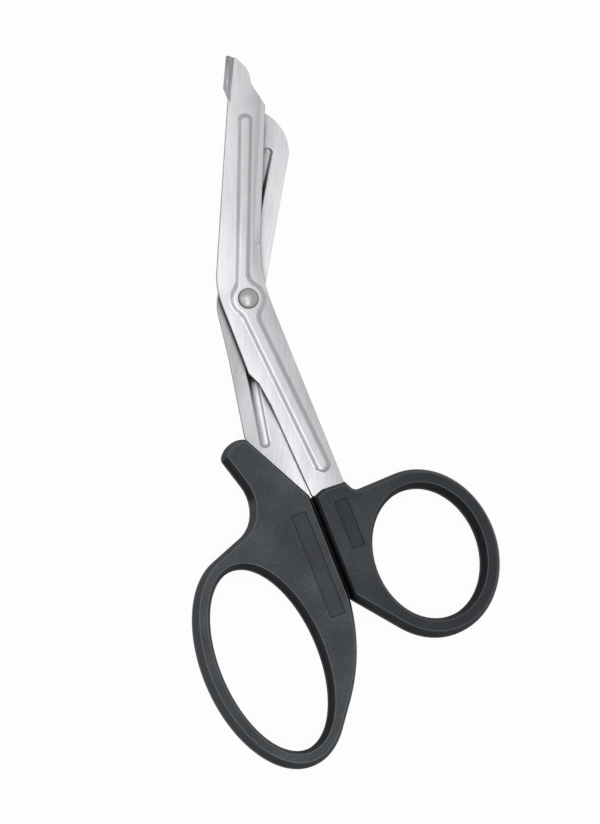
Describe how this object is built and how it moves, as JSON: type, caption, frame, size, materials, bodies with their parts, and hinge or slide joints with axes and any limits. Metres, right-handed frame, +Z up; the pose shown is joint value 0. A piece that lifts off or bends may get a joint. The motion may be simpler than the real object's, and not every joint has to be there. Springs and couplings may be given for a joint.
{
  "type": "bandage scissors",
  "caption": "Angled bandage scissors with bead-stiffened steel blades, a lipped probe nose, a domed rivet and moulded ring handles of unequal size.",
  "frame": {"origin": "middle of the footprint, on the surface that the scissors lie on", "axes": "+Z up from that surface, +Y towards the nose of the blades, +X towards the thumb ring"},
  "size_m": [0.0824, 0.19, 0.0086],
  "materials": {
    "blade_steel": "satin",
    "rivet_steel": "polished",
    "handle_plastic": "satin"
  },
  "bodies": {
    "finger_half": {"back_blade": "blade_steel", "finger_handle": "handle_plastic", "pivot_rivet": "rivet_steel"},
    "thumb_half": {"front_blade": "blade_steel", "thumb_handle": "handle_plastic"}
  },
  "joints": [
    {"name": "blade_pivot", "type": "hinge", "parent": "finger_half", "child": "thumb_half", "pos_m": [-0.02598, 0.02939, 0.0043], "axis": [0, 0, 1], "range_deg": [0, 80]}
  ]
}
